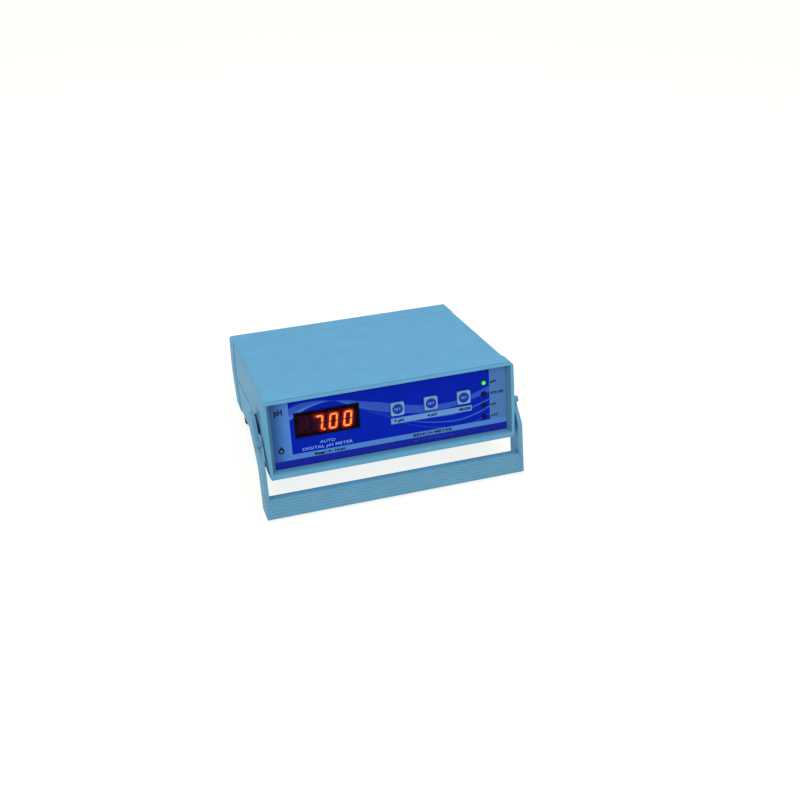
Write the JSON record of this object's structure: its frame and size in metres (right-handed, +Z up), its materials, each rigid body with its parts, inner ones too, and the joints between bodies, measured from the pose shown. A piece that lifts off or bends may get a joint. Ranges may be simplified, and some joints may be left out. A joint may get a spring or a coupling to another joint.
{
  "type": "bench ph meter",
  "caption": "Mains-powered bench pH meter: blue plastic case on a swinging carry-and-stand handle, red digit display, square keys, indicator lamps and rear sockets.",
  "frame": {"origin": "centre of the bounding box on the surface the meter stands on, with the handle swung down as a stand", "axes": "+X to the right of a person facing the display, +Y away from them towards the rear panel, +Z up; the case is tilted nose-up about X"},
  "size_m": [0.238, 0.2074, 0.1067],
  "materials": {
    "shell_plastic": "fine texture",
    "handle_plastic": "fine texture",
    "panel_metal": "satin",
    "overlay_film": "printed film",
    "display_bezel": "gloss",
    "display_filter": "dark red, clear",
    "digit_body": "matte",
    "key_plastic": "matte",
    "black_plastic": "matte",
    "led_green_lit": "lit",
    "led_off": "clear, dark",
    "board_laminate": "solder mask",
    "zinc_steel": "zinc plated",
    "core_steel": "varnished laminations",
    "coil_tape": "tape",
    "sink_aluminium": "anodised",
    "capacitor_sleeve": "sleeve",
    "cable_plastic": "flexible",
    "rear_panel_plastic": "matte",
    "nickel_plate": "nickel",
    "foot_rubber": "matte",
    "washer_plastic": "matte"
  },
  "bodies": {
    "case": {"top_shell": "shell_plastic", "bottom_shell": "shell_plastic", "front_panel": "panel_metal", "panel_overlay": "overlay_film", "display_frame": "display_bezel", "display_filter": "display_filter", "digit_1": "digit_body", "digit_2": "digit_body", "digit_3": "digit_body", "digit_4": "digit_body", "key_switch_seven": "black_plastic", "key_switch_four": "black_plastic", "key_switch_mode": "black_plastic", "led_ph": "led_green_lit", "led_standby": "led_off", "led_mv": "led_off", "led_atc": "led_off", "front_board": "board_laminate", "front_standoffs": "zinc_steel", "front_board_screws": "zinc_steel", "main_board": "board_laminate", "board_standoffs": "zinc_steel", "board_screws": "zinc_steel", "transformer_core": "core_steel", "transformer_coil": "coil_tape", "transformer_bolts": "zinc_steel", "regulator": "black_plastic", "heatsink": "sink_aluminium", "filter_capacitors": "capacitor_sleeve", "controller_chip": "black_plastic", "shield_can": "zinc_steel", "ribbon_cable": "cable_plastic", "mains_wires": "cable_plastic", "electrode_lead": "cable_plastic", "rear_panel": "rear_panel_plastic", "bnc_connector": "nickel_plate", "bnc_nut": "nickel_plate", "temperature_socket": "black_plastic", "socket_nut": "nickel_plate", "mains_inlet": "black_plastic", "fuse_holder": "black_plastic", "fuse_cap": "black_plastic", "switch_housing": "black_plastic", "pivot_pin_left": "zinc_steel", "pivot_pin_right": "zinc_steel", "pivot_washer_left": "washer_plastic", "pivot_washer_right": "washer_plastic", "pivot_cap_left": "handle_plastic", "pivot_cap_right": "handle_plastic", "front_feet": "foot_rubber", "rear_feet": "foot_rubber", "case_screws": "zinc_steel"},
    "handle": {"handle_arm_left": "handle_plastic", "handle_arm_right": "handle_plastic", "handle_grip": "handle_plastic"},
    "key_seven": {"key_cap_seven": "key_plastic"},
    "key_four": {"key_cap_four": "key_plastic"},
    "key_mode": {"key_cap_mode": "key_plastic"},
    "rocker": {"power_rocker": "black_plastic"}
  },
  "joints": [
    {"name": "handle_swing", "type": "hinge", "parent": "case", "child": "handle", "pos_m": [0, -0.0515, 0.06795], "axis": [-1, 0, 0], "range_deg": [-30, 206]},
    {"name": "key_seven_press", "type": "slide", "parent": "case", "child": "key_seven", "axis": [0, 0.9817, -0.1906], "range_m": [0, 0.0012], "stiffness_N_per_m": 900, "springref_m": -0.0006},
    {"name": "key_four_press", "type": "slide", "parent": "case", "child": "key_four", "axis": [0, 0.9817, -0.1906], "range_m": [0, 0.0012], "stiffness_N_per_m": 900, "springref_m": -0.0006},
    {"name": "key_mode_press", "type": "slide", "parent": "case", "child": "key_mode", "axis": [0, 0.9817, -0.1906], "range_m": [0, 0.0012], "stiffness_N_per_m": 900, "springref_m": -0.0006},
    {"name": "power_rocker_tilt", "type": "hinge", "parent": "case", "child": "rocker", "pos_m": [-0.034, 0.08698, 0.04351], "axis": [1, 0, 0], "range_deg": [0, 22]}
  ]
}
